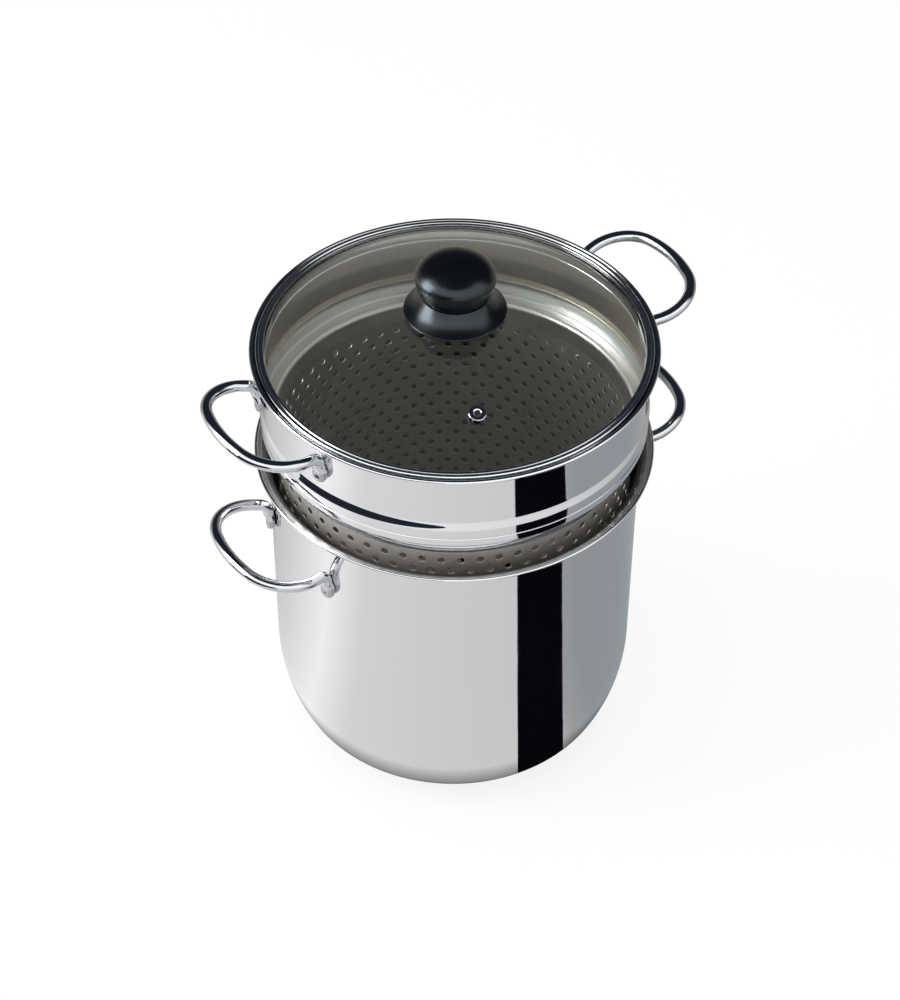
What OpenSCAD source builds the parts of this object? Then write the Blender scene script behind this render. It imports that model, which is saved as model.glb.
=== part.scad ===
// Pasta pot with a lift-out strainer and a domed glass lid.
// The pot stands on z = 0, its axis is the z axis, and the loop handles point along -x and +x.
// The strainer hangs strainer_raise above its seat on the pot's flared rim, with the lid on it.

/* [Pot] */
// Outside diameter of the pot's wall
body_d = 224; // [200:1:260]
// Height of the pot's rim above the table
pot_h = 215; // [170:1:260]
// Outside diameter of the rolled rims of the pot and of the strainer
rim_d = 240.6; // [238:0.2:243]
// Thickness of the pot's sheet
pot_sheet = 0.8; // [0.6:0.1:1.2]
// Radius of the slow curve low on the wall
foot_curve_r = 110; // [80:5:140]
// Angle at which the slow curve turns into the tight corner
foot_curve_angle = 24; // [15:1:35]
// Radius of the tight corner round the base
foot_corner_r = 22; // [14:1:28]
// Radius of the flare under the pot's rim
flare_r = 7; // [5:0.5:8]
// Angle through which the flare turns outwards
flare_angle = 75; // [60:1:80]
// Radius of the pot's rolled edge
bead_r = 1.1; // [0.8:0.1:1.5]

/* [Base] */
// Thickness of the aluminium core
base_core_t = 4.4; // [3:0.1:7]
// Thickness of the steel cap round the core
base_cap_t = 0.6; // [0.4:0.1:1]

/* [Strainer] */
// Height of the strainer above its seat, as when it is lifted to drain
strainer_raise = 23.8; // [0:0.1:150]
// Outside diameter of the strainer's collar
collar_d = 229.2; // [226:0.2:231]
// Outside diameter of the band that rests on the pot's rim
band_d = 231.6; // [230:0.2:233]
// Height of the strainer's rim above the underside of its shoulder
collar_h = 54.6; // [40:0.2:70]
// Height of the seam between the collar and the basket above the shoulder
seam_h = 6.8; // [5:0.1:8]
// Depth of the basket below the shoulder
basket_depth = 184; // [140:1:186]
// Outside diameter of the perforated wall
basket_d = 214; // [206:0.5:218]
// Thickness of the strainer's sheet
strainer_sheet = 0.7; // [0.5:0.1:1]
// Radius of the corner between the strainer's wall and floor
basket_corner_r = 18; // [10:1:24]

/* [Perforation] */
// Diameter of each hole
hole_d = 4.3; // [3:0.1:5]
// Holes in each row round the wall
holes_round = 60; // [40:2:64]
// Distance between rows
row_pitch = 8.3; // [7:0.1:12]
// Distance from the shoulder down to the first row
first_row = 18.7; // [12:0.1:25]
// Distance between the holes in the floor
floor_pitch = 11; // [9:0.5:16]

/* [Handles] */
// Diameter of the handle rod
rod_d = 6.8; // [6:0.1:9]
// Angle of each foot from the handle's middle, seen from above
foot_angle = 17.6; // [15:0.1:24]
// Angle at which the loops rise outwards
rise_angle = 12.5; // [0:0.5:25]
// Reach of the strainer's loops from the wall, along the slope
strainer_reach = 43.6; // [40:0.1:56]
// Reach of the pot's loops from the wall, along the slope
pot_reach = 46.3; // [42:0.1:58]
// Radius of the loop's outer bar
bar_r = 78; // [50:1:90]
// Radius of the loop's corners
loop_corner_r = 26.5; // [20:0.5:28]
// Radius of the bend where the rod turns down to its foot
bend_r = 7.5; // [6:0.1:8]
// Length of each foot below the rod
foot_len = 18.5; // [15:0.1:22]
// Drop from the strainer's rim to its handle rods
strainer_handle_drop = 8.8; // [7:0.1:16]
// Drop from the pot's rim to its handle rods
pot_handle_drop = 28; // [20:0.5:60]

/* [Lid] */
// Radius of the glass dome
dome_r = 242; // [200:1:320]
// Thickness of the glass
glass_t = 4; // [3:0.1:5]
// Diameter of the glass
glass_d = 225.4; // [224:0.1:226]
// Height of the dome's top above the strainer's rim
dome_h = 26.8; // [24:0.1:30]
// Distance of the steam vent from the lid's middle
vent_offset = 79; // [60:1:90]
// Direction of the steam vent, seen from above
vent_angle = -113; // [-180:1:180]

/* [Knob] */
// Diameter of the knob's skirt
skirt_d = 60; // [50:1:66]
// Height of the whole knob
knob_h = 33.6; // [28:0.1:40]
// Diameter of the knob's head
head_d = 46.6; // [40:0.2:52]
// Diameter of the neck under the head
neck_d = 39; // [30:0.5:42]

/* [Hidden] */
$fn = 96;

steel = [0.80, 0.81, 0.83];
dull_steel = [0.62, 0.62, 0.61];
black = [0.08, 0.09, 0.10];
rubber = [0.16, 0.16, 0.17];
brass = [0.78, 0.62, 0.3];
aluminium = [0.75, 0.76, 0.77];

body_r = body_d / 2;
rim_r = rim_d / 2;
collar_r = collar_d / 2;
band_r = band_d / 2;
basket_r = basket_d / 2;
rod_r = rod_d / 2;
// The pressed end of each foot: width, thickness, length of the taper, and how square it is
pad_w = 9.2;
pad_t = 5.2;
pad_taper = 5;
pad_squareness = 3.2;
base_t = base_core_t + base_cap_t;
base_r = body_r - foot_curve_r * (1 - cos(foot_curve_angle)) - foot_corner_r * cos(foot_curve_angle);

// The flare: an arc from the wall, a short straight lip, and the rolled edge
flare_cx = body_r - pot_sheet / 2 + flare_r;
lip_len = (rim_r - bead_r - flare_cx + flare_r * cos(flare_angle)) / sin(flare_angle);
flare_z = pot_h - bead_r - flare_r * sin(flare_angle) - lip_len * cos(flare_angle);

// The strainer's shoulder rests where its corner meets the flare
shoulder_r = 2.5;
seat_span = flare_r + pot_sheet / 2 + shoulder_r;
seat_z = flare_z + sqrt(pow(seat_span, 2) - pow(flare_cx - band_r + shoulder_r, 2)) - shoulder_r;
shoulder_z = seat_z + strainer_raise;
basket_z = shoulder_z - basket_depth;
strainer_top = shoulder_z + collar_h;

// The strainer's own smaller flare
small_flare_r = 3.4;
small_flare_angle = 65;
small_bead_r = 1.05;
small_flare_cx = collar_r - strainer_sheet / 2 + small_flare_r;
small_lip_len = (rim_r - 0.2 - small_bead_r - small_flare_cx + small_flare_r * cos(small_flare_angle))
    / sin(small_flare_angle);
small_flare_z = strainer_top - small_bead_r - small_flare_r * sin(small_flare_angle)
    - small_lip_len * cos(small_flare_angle);
crease_low = shoulder_z + 13.3;
crease_high = shoulder_z + 15.8;
seam_gap = 0.6;

apex_z = strainer_top + dome_h;
dome_z = apex_z - dome_r;
glass_r = glass_d / 2;
vent_tilt = asin(vent_offset / dome_r);

// Points along an arc in a profile, from angle a0 to angle a1
function arc(cx, cy, r, a0, a1, n = 8) =
    [for (i = [0:n]) let (a = a0 + (a1 - a0) * i / n) [cx + r * cos(a), cy + r * sin(a)]];
function reversed(v) = [for (i = [len(v) - 1:-1:0]) v[i]];
// Height of the top of the glass at a distance from the lid's middle, and of its underside
function glass_top(r) = dome_z + sqrt(pow(dome_r, 2) - pow(r, 2));
function glass_under(r) = dome_z + sqrt(pow(dome_r - glass_t, 2) - pow(r, 2));

// Centres of the foot's two curves, and the angle at which its corner is cut into two rings
corner_cz = base_t + foot_corner_r;
curve_cz = corner_cz + (foot_curve_r - foot_corner_r) * sin(foot_curve_angle);
corner_cut = -(90 + foot_curve_angle) / 2;

// Straight wall of the drawn pot, from the soft foot up to the flare
module pot_shell() {
    color(steel)
        translate([0, 0, curve_cz])
            difference() {
                cylinder(r = body_r, h = flare_z - curve_cz);
                translate([0, 0, -1]) cylinder(r = body_r - pot_sheet, h = flare_z - curve_cz + 2);
            }
}

// One ring of the soft foot, between two angles of its outer face
module foot_ring(cx, cz, r, a0, a1) {
    color(steel)
        rotate_extrude()
            polygon(concat(arc(cx, cz, r, a0, a1), reversed(arc(cx, cz, r - pot_sheet, a0, a1))));
}

// Slow curve from the wall down to the tight corner
module pot_foot_top() {
    foot_ring(body_r - foot_curve_r, curve_cz, foot_curve_r, -foot_curve_angle, 0);
}

// Upper and lower half of the tight corner round the floor
module pot_foot_mid() {
    foot_ring(base_r, corner_cz, foot_corner_r, corner_cut, -foot_curve_angle);
}

module pot_foot_low() {
    foot_ring(base_r, corner_cz, foot_corner_r, -90, corner_cut);
}

// Flat floor inside the foot, on the base
module pot_floor() {
    color(steel) translate([0, 0, base_t]) cylinder(r = base_r - 0.02, h = pot_sheet);
}

// One face of a flare and its straight lip, inset by t from the outer face of a sheet
function flare_face(cx, z, r, angle, edge, sheet, t) = concat(
    arc(cx, z, r - sheet / 2 + t, 180, 180 - angle, 10),
    [edge + (t - sheet / 2) * [-cos(angle), sin(angle)]]
);

// Flared rim of the pot with its rolled edge
module pot_rim() {
    edge = [rim_r - bead_r, pot_h - bead_r];
    function face(t) = flare_face(flare_cx, flare_z, flare_r, flare_angle, edge, pot_sheet, t);
    color(steel)
        rotate_extrude() {
            polygon(concat(face(0), reversed(face(pot_sheet))));
            translate(edge) circle(r = bead_r);
        }
}

// Aluminium disc that spreads the heat
module base_core() {
    color(aluminium)
        translate([0, 0, base_cap_t])
            cylinder(r = base_r - base_cap_t, h = base_core_t);
}

// Steel cap pressed round the core, with a rounded lower edge
module base_cap() {
    edge_r = 1.6;
    color(steel)
        rotate_extrude()
            difference() {
                polygon(concat(
                    [[0, 0]],
                    arc(base_r - edge_r, edge_r, edge_r, -90, 0, 6),
                    [[base_r, base_t], [0, base_t]]
                ));
                translate([-1, base_cap_t])
                    square([base_r - base_cap_t + 1, base_core_t + 1]);
            }
}

// A handle is one rod, swept through rings of points. Each ring has a centre, a direction that
// points out of the loop, a direction square to it, and a half-width along each of them.
ring_sides = 14;

function ring(c, out, up, w, t, squareness = 2) =
    [for (i = [0:ring_sides - 1])
        let (a = i * 360 / ring_sides, p = 2 / squareness)
            c + out * w * sign(cos(a)) * pow(abs(cos(a)), p) + up * t * sign(sin(a)) * pow(abs(sin(a)), p)];

// A point and a direction of the sloping plane that the loop lies in
function sloped(u, v) = [u * cos(rise_angle), v, u * sin(rise_angle)];
slope_up = [-sin(rise_angle), 0, cos(rise_angle)];

// Rings of half a loop, from the middle of its outer bar to the tip of its foot
function half_loop(knee_r, reach) =
    let (
        knee = [knee_r * cos(foot_angle), knee_r * sin(foot_angle), 0],
        // The leg runs square to the wall: its direction in the sloping plane, and its rise
        leg_angle = atan(tan(foot_angle) * cos(rise_angle)),
        leg_rise = asin(cos(leg_angle) * sin(rise_angle)),
        bend_len = bend_r * tan((90 - leg_rise) / 2),
        along = [cos(leg_angle), sin(leg_angle)],
        inward = [sin(leg_angle), -cos(leg_angle)],
        // The corner's centre keeps its radius from the leg, and its arc meets the bar's from inside
        bar_x = reach - bar_r,
        offset = [-bar_x, knee[1]] + loop_corner_r * inward,
        half_b = offset * along,
        leg_len = -half_b + sqrt(pow(half_b, 2) - offset * offset + pow(bar_r - loop_corner_r, 2)),
        corner = [0, knee[1]] + leg_len * along + loop_corner_r * inward,
        bar_angle = atan2(corner[1], corner[0] - bar_x),
        base = [knee[0], 0, 0],
        side = [-sin(foot_angle), cos(foot_angle), 0],
        away = [cos(foot_angle), sin(foot_angle), 0],
        down = [0, 0, -1]
    )
    concat(
        [for (i = [0:5]) let (a = bar_angle * i / 5)
            ring(base + sloped(bar_x + bar_r * cos(a), bar_r * sin(a)), sloped(cos(a), sin(a)),
                slope_up, rod_r, rod_r)],
        [for (i = [1:10]) let (a = bar_angle + (90 + leg_angle - bar_angle) * i / 10)
            ring(base + sloped(corner[0] + loop_corner_r * cos(a), corner[1] + loop_corner_r * sin(a)),
                sloped(cos(a), sin(a)), slope_up, rod_r, rod_r)],
        [for (i = [0:7]) let (a = 90 + leg_rise + (90 - leg_rise) * i / 7)
            ring(knee + bend_len * down + away * bend_r * (1 + cos(a)) - down * bend_r * sin(a),
                side, away * cos(a) - down * sin(a), rod_r, rod_r)],
        // The end is pressed flat against the wall
        [for (i = [1:4])
            let (
                k = i / 4,
                ease = (1 - cos(180 * k)) / 2,
                t = rod_r + (pad_t / 2 - rod_r) * ease
            )
            ring(knee + down * (bend_len + pad_taper * k) - away * (rod_r - t), side, -away,
                rod_r + (pad_w / 2 - rod_r) * ease, t, 2 + (pad_squareness - 2) * k)],
        [for (i = [0:4]) let (a = i * 20, tip = foot_len - pad_w / 2 + pad_w / 2 * sin(a))
            ring(knee + down * tip - away * (rod_r - pad_t / 2), side, -away,
                pad_w / 2 * cos(a), pad_t / 2 * pow(cos(a), 0.35), pad_squareness)]
    );

function mirrored(points) = [for (p = points) [p[0], -p[1], p[2]]];

// Round-wire loop with two feet that lie against a wall of radius wall_r
module loop_handle(wall_r, z, reach) {
    half = half_loop(wall_r + rod_r, reach);
    rings = concat(
        [for (i = [len(half) - 1:-1:1]) half[i]],
        [for (r = half) mirrored(r)]
    );
    m = len(rings);
    points = [for (r = rings, p = r) p];
    walls = [for (i = [0:m - 2], j = [0:ring_sides - 1])
        let (a = i * ring_sides + j, b = i * ring_sides + (j + 1) % ring_sides)
            each [[a, a + ring_sides, b], [b, a + ring_sides, b + ring_sides]]];
    ends = [
        [for (j = [0:ring_sides - 1]) j],
        [for (j = [ring_sides - 1:-1:0]) (m - 1) * ring_sides + j]
    ];
    translate([0, 0, z]) polyhedron(points, concat(walls, ends));
}

pot_handle_z = pot_h - pot_handle_drop;
strainer_handle_z = strainer_top - strainer_handle_drop;

module pot_handle_left() {
    color(steel) rotate([0, 0, 180]) loop_handle(body_r, pot_handle_z, pot_reach);
}

module pot_handle_right() {
    color(steel) loop_handle(body_r, pot_handle_z, pot_reach);
}

module strainer_handle_left() {
    color(steel) rotate([0, 0, 180]) loop_handle(collar_r, strainer_handle_z, strainer_reach);
}

module strainer_handle_right() {
    color(steel) loop_handle(collar_r, strainer_handle_z, strainer_reach);
}

// Solid upper ring of the strainer, with the same flared and rolled rim as the pot
module strainer_collar() {
    edge = [rim_r - 0.2 - small_bead_r, strainer_top - small_bead_r];
    function face(t) = concat(
        [
            [band_r - t, shoulder_z + seam_h + seam_gap / 2],
            [band_r - t, crease_low],
            [collar_r - t, crease_high]
        ],
        flare_face(
            small_flare_cx, small_flare_z, small_flare_r, small_flare_angle,
            edge, strainer_sheet, t
        )
    );
    color(steel)
        rotate_extrude() {
            polygon(concat(face(0), reversed(face(strainer_sheet))));
            translate(edge) circle(r = small_bead_r);
        }
}

wall_bottom = basket_z + basket_corner_r + 3;
neck_bottom = shoulder_z - 12;
fillet_cx = basket_r + shoulder_r;
fillet_z = shoulder_z - shoulder_r;

// Rolled shoulder that rests on the pot's rim, with a tongue that laps inside the collar
module strainer_shoulder() {
    s = strainer_sheet;
    color(steel)
        rotate_extrude()
            polygon(concat(
                [[basket_r, neck_bottom]],
                arc(fillet_cx, fillet_z, shoulder_r, 180, 90, 6),
                arc(band_r - shoulder_r, shoulder_z + shoulder_r, shoulder_r, -90, 0, 6),
                [
                    [band_r, shoulder_z + seam_h - seam_gap / 2],
                    [band_r - s, shoulder_z + seam_h - seam_gap / 2],
                    [band_r - s, crease_low - 1],
                    [band_r - 2 * s, crease_low - 1],
                    [band_r - 2 * s, shoulder_z + seam_h - 1],
                    [band_r - s, shoulder_z + seam_h - 2]
                ],
                arc(band_r - shoulder_r, shoulder_z + shoulder_r, shoulder_r - s, 0, -90, 6),
                arc(fillet_cx, fillet_z, shoulder_r + s, 90, 180, 6),
                [[basket_r - s, neck_bottom]]
            ));
}

// The rolled sheet has a narrow flat behind every hole, as punching leaves it
flats = 2 * holes_round;
rows = floor((shoulder_z - first_row - wall_bottom - hole_d) / row_pitch) + 1;

module flat_ring(r) {
    polygon([for (i = [0:flats - 1]) let (a = (i + 0.5) * 360 / flats) r * [cos(a), sin(a)]]);
}

// Rolled, perforated wall under the shoulder
module strainer_wall() {
    color(dull_steel)
        difference() {
            translate([0, 0, wall_bottom])
                linear_extrude(height = neck_bottom - wall_bottom)
                    difference() {
                        flat_ring(basket_r);
                        flat_ring(basket_r - strainer_sheet);
                    }
            for (row = [0:rows - 1], i = [0:holes_round - 1])
                translate([0, 0, shoulder_z - first_row - row * row_pitch])
                    rotate([0, 90, (2 * i + row % 2) * 360 / flats])
                        translate([0, 0, basket_r - 2]) cylinder(d = hole_d, h = 4, $fn = 24);
        }
}

// Pressed, perforated floor that laps inside the wall
module strainer_floor() {
    s = strainer_sheet;
    outer = basket_r - s - 0.06;
    corner_x = outer - basket_corner_r;
    field_r = corner_x - 4;
    n = floor(field_r / floor_pitch);
    color(dull_steel)
        difference() {
            rotate_extrude()
                polygon(concat(
                    [[0, basket_z]],
                    arc(corner_x, basket_z + basket_corner_r, basket_corner_r, -90, 0, 10),
                    [[outer, wall_bottom + 5], [outer - s, wall_bottom + 5]],
                    arc(corner_x, basket_z + basket_corner_r, basket_corner_r - s, 0, -90, 10),
                    [[0, basket_z + s]]
                ));
            for (i = [-n - 2:n + 2], j = [-n - 2:n + 2])
                let (x = (i + j / 2) * floor_pitch, y = j * floor_pitch * sqrt(3) / 2)
                    if (norm([x, y]) < field_r)
                        translate([x, y, basket_z - 1]) cylinder(d = hole_d, h = s + 2, $fn = 24);
        }
}

// Places children on top of the glass at the vent, square to the dome
module at_vent() {
    rotate([0, 0, vent_angle])
        translate([0, 0, dome_z])
            rotate([0, vent_tilt, 0])
                translate([0, 0, dome_r]) children();
}

vent_tube_r = 3.1;
vent_bore_r = 1.7;
stud_hole_r = 4;

// Domed tempered glass, bored for the knob's screw and the vent
module lid_glass() {
    color([0.85, 0.9, 0.88, 0.35])
        difference() {
            intersection() {
                translate([0, 0, dome_z]) sphere(r = dome_r);
                translate([0, 0, dome_z + dome_r / 2]) cylinder(r = glass_r, h = dome_r);
            }
            translate([0, 0, dome_z]) sphere(r = dome_r - glass_t);
            cylinder(r = stud_hole_r, h = apex_z + 5);
            at_vent() translate([0, 0, -glass_t - 3]) cylinder(r = vent_tube_r, h = glass_t + 6);
        }
}

band_t = 0.7;
band_bottom = glass_under(glass_r) - 0.2 - band_t;
skirt_r = 110.8;

// Steel band crimped round the glass, with the bead that rests in the strainer's flare
module lid_rim_band() {
    bead = 1.3;
    bead_x = glass_r + 2.9;
    bead_z = strainer_top - 0.5;
    lip_x = glass_r - 2;
    out_x = glass_r + band_t;
    skirt_bottom = band_bottom - 5.6;
    color(steel)
        rotate_extrude()
            polygon(concat(
                [
                    [lip_x, glass_top(lip_x) + 0.02],
                    [lip_x, glass_top(lip_x) + band_t],
                    [out_x, bead_z + 0.95]
                ],
                arc(bead_x, bead_z, bead, 150, -150, 12),
                [
                    [out_x, bead_z - 1],
                    [out_x, band_bottom],
                    [skirt_r, band_bottom],
                    [skirt_r, skirt_bottom],
                    [skirt_r - band_t, skirt_bottom],
                    [skirt_r - band_t, band_bottom + band_t],
                    [glass_r, band_bottom + band_t],
                    [glass_r, glass_top(glass_r) + 0.02]
                ]
            ));
}

// Rolled tube with a broad top flange
module vent_eyelet() {
    flange_r = 5.1;
    color(steel)
        at_vent()
            rotate_extrude()
                polygon(concat(
                    [[vent_bore_r, -glass_t - 2.4], [vent_tube_r, -glass_t - 2.4], [vent_tube_r, 0.02]],
                    arc(flange_r - 0.5, 0.52, 0.5, -90, 90, 6),
                    [[vent_bore_r + 1.6, 1.02], [vent_bore_r, 0.2]]
                ));
}

// Washer that the tube is rolled over, under the glass
module vent_washer() {
    color(steel)
        at_vent()
            translate([0, 0, -glass_t - 1.2])
                difference() {
                    cylinder(r = 5, h = 1.1);
                    translate([0, 0, -1]) cylinder(r = vent_tube_r, h = 4);
                }
}

neck_z = apex_z + 9.8;
knob_top = apex_z + knob_h;
hub_z = apex_z + 1;
screw_r = 2.6;
insert_r = 4;
insert_top = knob_top - 12;

// Flared skirt, hollow underneath, whose slope sinks in a little
module knob_skirt() {
    neck_r = neck_d / 2;
    edge = skirt_d / 2;
    edge_r = 0.6;
    seat = edge - 2.5;
    skirt_edge_z = glass_top(edge - edge_r) + 0.04;
    slope_start = [edge - edge_r + edge_r * cos(50), skirt_edge_z + edge_r + edge_r * sin(50)];
    slope_end = [neck_r + 0.4, neck_z];
    slope_sag = 0.9;
    hub_r = 10;
    color(black)
        rotate_extrude()
            polygon(concat(
                [[screw_r, hub_z], [hub_r, hub_z], [hub_r, apex_z + 3.5], [neck_r - 2, apex_z + 5]],
                [[seat, glass_top(seat) + 0.04], [edge - edge_r, skirt_edge_z]],
                arc(edge - edge_r, skirt_edge_z + edge_r, edge_r, -90, 40, 5),
                [for (i = [0:8])
                    let (t = i / 8)
                    slope_start + (slope_end - slope_start) * t - slope_sag * sin(180 * t) * [1, 1]],
                [[neck_r, neck_z], [screw_r, neck_z]]
            ));
}

// Mushroom-shaped grip with a groove at its neck
module knob_grip() {
    head_r = head_d / 2;
    neck_r = neck_d / 2 - 0.4;
    wide_z = apex_z + 22;
    color(black)
        rotate_extrude()
            polygon(concat(
                [[0, insert_top], [insert_r, insert_top], [insert_r, neck_z], [neck_r - 0.6, neck_z]],
                [[neck_r - 0.6, neck_z + 0.8], [neck_r, neck_z + 1]],
                [for (i = [0:8]) let (a = 90 - i * 90 / 8)
                    [head_r - (head_r - neck_r) * (1 - cos(a)), wide_z - (wide_z - neck_z - 1.8) * sin(a)]],
                [for (i = [1:12]) let (a = i * 90 / 12)
                    [head_r * pow(cos(a), 0.85), wide_z + (knob_top - wide_z) * pow(sin(a), 1.05)]]
            ));
}

// Threaded bush moulded into the grip
module knob_insert() {
    color(brass)
        translate([0, 0, neck_z])
            difference() {
                cylinder(r = insert_r, h = insert_top - neck_z);
                translate([0, 0, -1]) cylinder(r = screw_r - 0.1, h = insert_top - neck_z + 2);
            }
}

gasket_t = 1.5;
washer_t = 1;
under_z = apex_z - glass_t - 0.05;

// Soft ring between the skirt's hub and the glass
module knob_gasket_upper() {
    outer = 10;
    color(rubber)
        rotate_extrude()
            polygon([
                [stud_hole_r, glass_top(stud_hole_r) + 0.02], [stud_hole_r, hub_z],
                [outer, hub_z], [outer, glass_top(outer) + 0.02]
            ]);
}

// Soft ring under the glass
module knob_gasket_lower() {
    color(rubber)
        translate([0, 0, under_z - gasket_t])
            difference() {
                cylinder(r = 9, h = gasket_t - 0.15);
                translate([0, 0, -1]) cylinder(r = screw_r, h = 4);
            }
}

// Washer that spreads the screw's pull
module knob_washer() {
    color(steel)
        translate([0, 0, under_z - gasket_t - washer_t])
            difference() {
                cylinder(r = 8, h = washer_t);
                translate([0, 0, -1]) cylinder(r = screw_r, h = 4);
            }
}

// Pan-head screw with a crossed slot, from under the glass into the bush
module knob_screw() {
    head_z = under_z - gasket_t - washer_t;
    head_r = 5;
    slot = [4.4, 1, 2.6];
    color(steel)
        difference() {
            union() {
                translate([0, 0, head_z]) cylinder(r = screw_r - 0.15, h = neck_z + 8 - head_z);
                rotate_extrude()
                    polygon(concat(
                        [[0, head_z], [head_r, head_z], [head_r, head_z - 1]],
                        [for (i = [1:6]) let (a = i * 15) [head_r * cos(a), head_z - 1 - 2 * sin(a)]]
                    ));
            }
            for (turn = [0, 90])
                rotate([0, 0, turn]) translate([-slot[0] / 2, -slot[1] / 2, head_z - 4]) cube(slot);
        }
}

pot_shell();
pot_foot_top();
pot_foot_mid();
pot_foot_low();
pot_floor();
pot_rim();
base_core();
base_cap();
pot_handle_left();
pot_handle_right();
strainer_collar();
strainer_shoulder();
strainer_wall();
strainer_floor();
strainer_handle_left();
strainer_handle_right();
lid_glass();
lid_rim_band();
vent_eyelet();
vent_washer();
knob_skirt();
knob_grip();
knob_insert();
knob_screw();
knob_washer();
knob_gasket_upper();
knob_gasket_lower();
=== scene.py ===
from math import asin, atan, atan2, cos, degrees, pi, radians, sin, sqrt, tan

import bpy
import bmesh
import numpy as np
from mathutils import Matrix, Vector
from mathutils.geometry import delaunay_2d_cdt


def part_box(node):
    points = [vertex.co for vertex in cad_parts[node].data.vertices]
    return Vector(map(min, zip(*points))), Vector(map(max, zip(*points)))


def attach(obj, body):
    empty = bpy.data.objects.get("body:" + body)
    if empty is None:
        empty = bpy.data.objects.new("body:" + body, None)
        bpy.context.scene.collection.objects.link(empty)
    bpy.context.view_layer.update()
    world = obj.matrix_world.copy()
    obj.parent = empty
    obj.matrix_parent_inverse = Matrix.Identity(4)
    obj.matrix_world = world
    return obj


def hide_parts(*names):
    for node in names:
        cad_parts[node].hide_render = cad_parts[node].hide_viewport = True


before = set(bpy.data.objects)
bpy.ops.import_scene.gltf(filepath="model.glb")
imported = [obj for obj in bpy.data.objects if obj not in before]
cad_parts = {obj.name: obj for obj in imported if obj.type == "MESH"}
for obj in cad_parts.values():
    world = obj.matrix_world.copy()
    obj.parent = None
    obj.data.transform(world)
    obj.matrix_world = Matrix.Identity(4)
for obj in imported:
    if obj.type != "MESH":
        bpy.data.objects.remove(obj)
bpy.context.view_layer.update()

MM = 0.001


def span(node):
    """Lowest and highest corner of a CAD node in millimetres."""
    low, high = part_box(node)
    return low / MM, high / MM


# Sizes in millimetres and angles in degrees. What a node's box gives comes from the frame.
# The pot
rim_r = span("pot_rim")[1].x
pot_h = span("pot_rim")[1].z
base_t = span("pot_floor")[0].z
base_r = span("base_cap")[1].x
body_r = span("pot_shell")[1].x
pot_sheet = 0.8
foot_corner_r = 22
foot_curve_r = 110
foot_curve_angle = 24
foot_curve_z = base_t + foot_corner_r + (foot_curve_r - foot_corner_r) * sin(radians(foot_curve_angle))
flare_r = 7
flare_angle = 75
bead_r = 1.1

# The strainer
strainer_top = span("strainer_collar")[1].z
strainer_rim_r = span("strainer_collar")[1].x
strainer_sheet = 0.7
collar_r = 114.6
band_r = 115.8
seam_h = 6.8
seam_gap = 0.6
shoulder_z = span("strainer_collar")[0].z - seam_h - seam_gap / 2
shoulder_r = 2.5
crease_low = shoulder_z + 12.3
crease_high = shoulder_z + 18.8
small_flare_r = 3.4
small_flare_angle = 65
small_bead_r = 1.25
basket_r = 107
basket_z = span("strainer_floor")[0].z
basket_corner_r = 18
neck_bottom = span("strainer_wall")[1].z
wall_bottom = span("strainer_wall")[0].z

# Its holes
hole_r = 2.15
holes_round = 60
hole_rows = 17
row_pitch = 8.3
first_row_z = shoulder_z - 18.7
floor_pitch = 11

# The loop handles
rod_r = 3.4
foot_angle = 17.6
rise_angle = 12.5
strainer_reach = 43.6
pot_reach = 46.3
bar_r = 78
loop_corner_r = 26.5
bend_r = 7.5
foot_len = 18.5
pad_w = 9.2
pad_t = 5.2
pad_taper = 5
round_section = 2
pad_squareness = 3.2
weld_r = 2.0
weld_depth = 0.75
strainer_handle_z = strainer_top - 8.8
pot_handle_z = pot_h - 28

# The lid and its knob
dome_r = 242
glass_t = 4
glass_r = span("lid_glass")[1].x
apex_z = strainer_top + 26.8
dome_z = apex_z - dome_r
stud_hole_r = 4
vent_offset = 79
vent_angle = -113
vent_tube_r = 3.1
vent_bore_r = 1.7
skirt_r = span("knob_skirt")[1].x
head_r = span("knob_grip")[1].x
knob_top = span("knob_grip")[1].z
neck_r = 19.5
neck_z = apex_z + 9.8

# The camera, fitted to the photograph: it stands on the side of the left handles
camera_azimuth = -32.2
camera_elevation = 43.29
camera_distance = 1586.47
camera_roll = 0.37
camera_aim = (-2.31, 0, 164.5)
camera_lens = 92.68


def glass_top(r):
    """Height of the dome's upper face."""
    return dome_z + sqrt(dome_r ** 2 - r ** 2)


def glass_under(r):
    """Height of the dome's lower face."""
    return dome_z + sqrt((dome_r - glass_t) ** 2 - r ** 2)


class Value:
    """A node's output, with arithmetic that adds Math nodes."""

    def __init__(self, nodes, socket):
        self.nodes = nodes
        self.socket = socket

    def __add__(self, other):
        return self.nodes.math("ADD", self, other)

    def __radd__(self, other):
        return self.nodes.math("ADD", other, self)

    def __sub__(self, other):
        return self.nodes.math("SUBTRACT", self, other)

    def __rsub__(self, other):
        return self.nodes.math("SUBTRACT", other, self)

    def __mul__(self, other):
        return self.nodes.math("MULTIPLY", self, other)

    def __rmul__(self, other):
        return self.nodes.math("MULTIPLY", other, self)

    def __truediv__(self, other):
        return self.nodes.math("DIVIDE", self, other)

    def __rtruediv__(self, other):
        return self.nodes.math("DIVIDE", other, self)


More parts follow.
